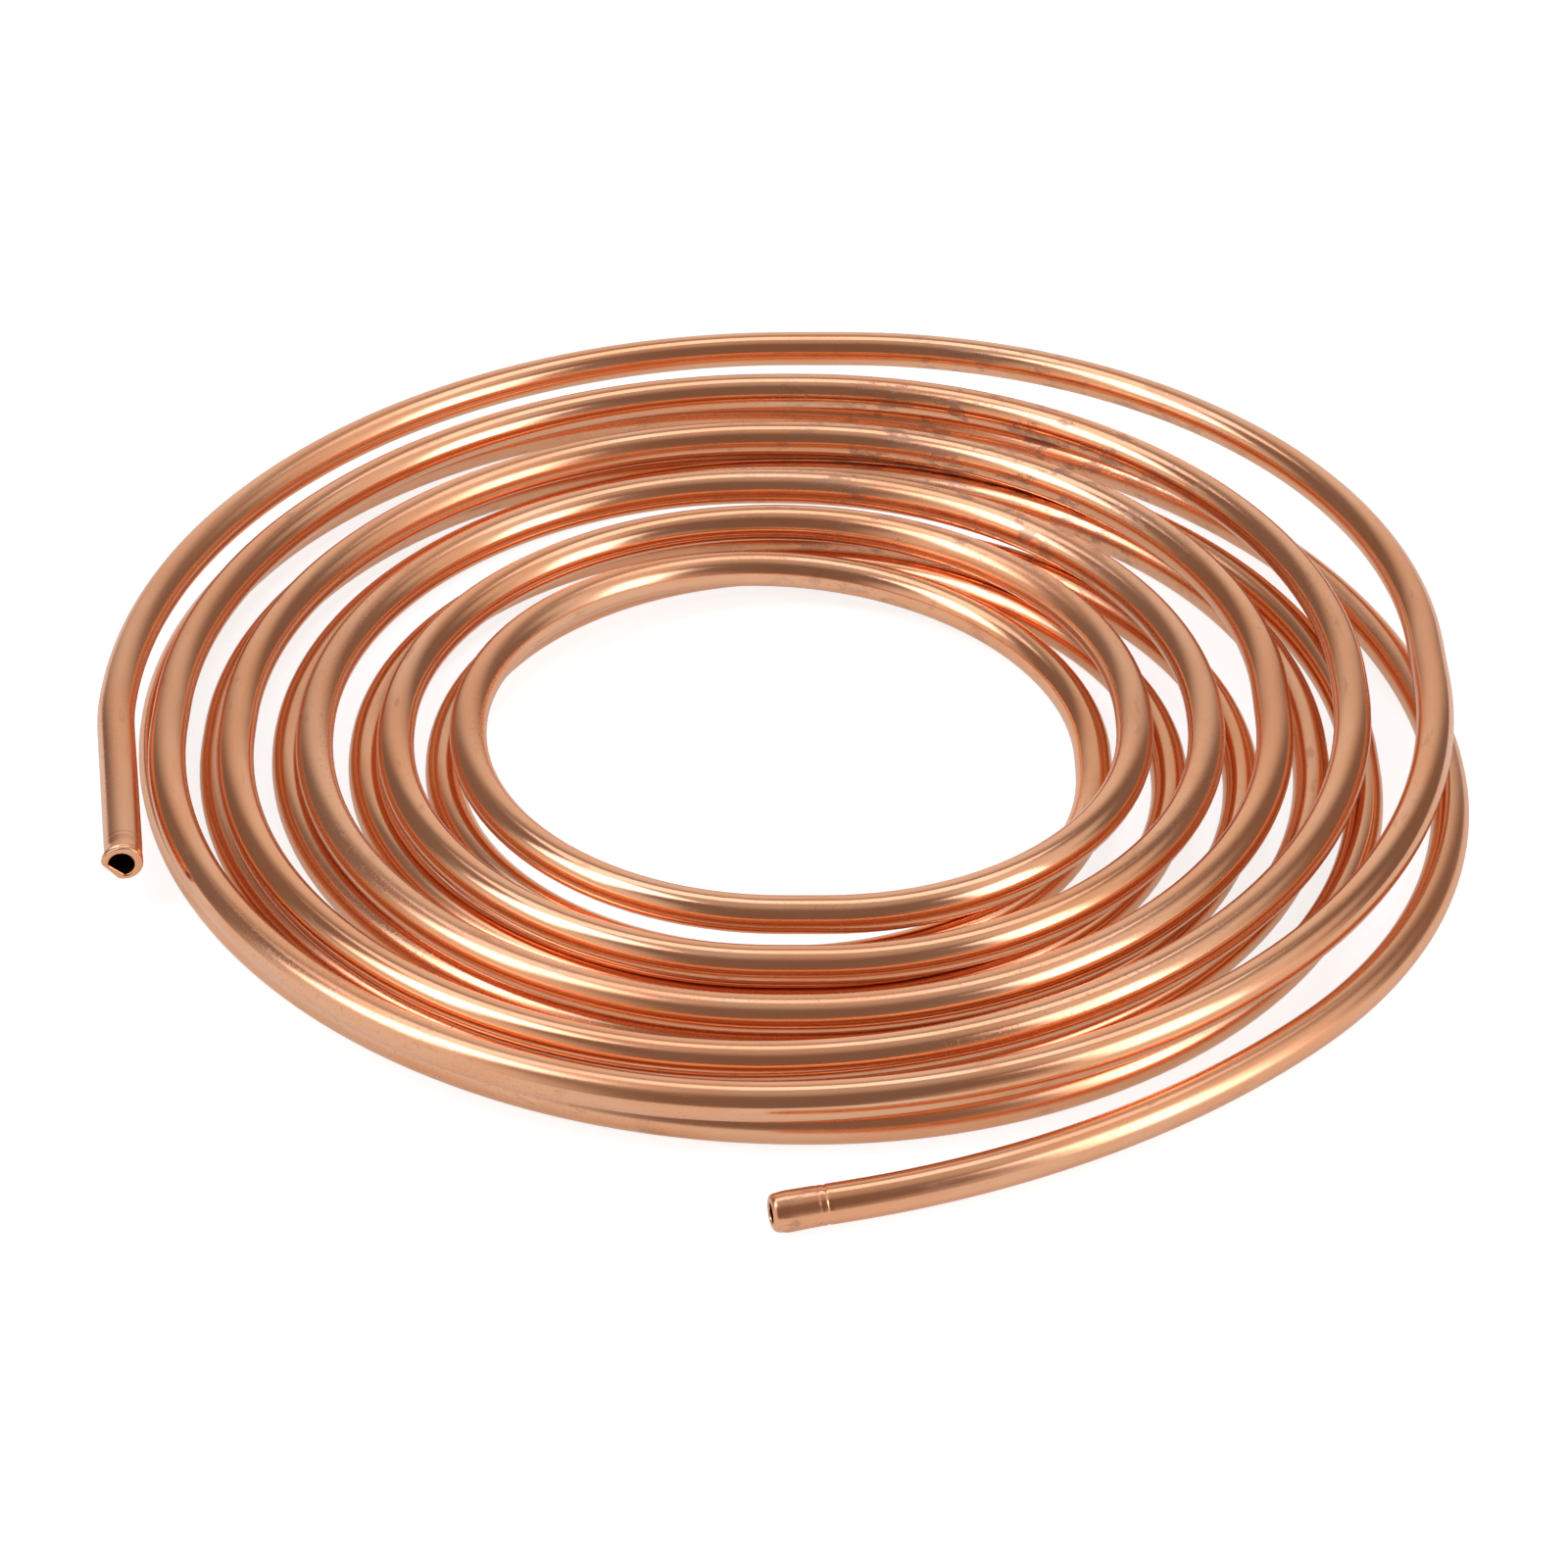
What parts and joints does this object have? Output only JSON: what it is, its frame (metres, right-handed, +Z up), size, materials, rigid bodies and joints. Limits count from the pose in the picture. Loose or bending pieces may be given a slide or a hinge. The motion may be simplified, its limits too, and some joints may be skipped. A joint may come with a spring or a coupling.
{
  "type": "brake line coil",
  "caption": "Loose flat coil of bare copper brake tube, wound inwards on an upper layer and back out underneath, with both cut ends free.",
  "frame": {"origin": "middle of the coil's underside, on the surface that it lies on", "axes": "+Z up out of that surface, -Y towards the free end of the lower layer, +X to the right as seen from that side"},
  "size_m": [0.22, 0.2363, 0.0123],
  "materials": {
    "copper": "satin bare copper, soft drawn"
  },
  "bodies": {
    "root": {"tube": "copper"}
  },
  "joints": []
}
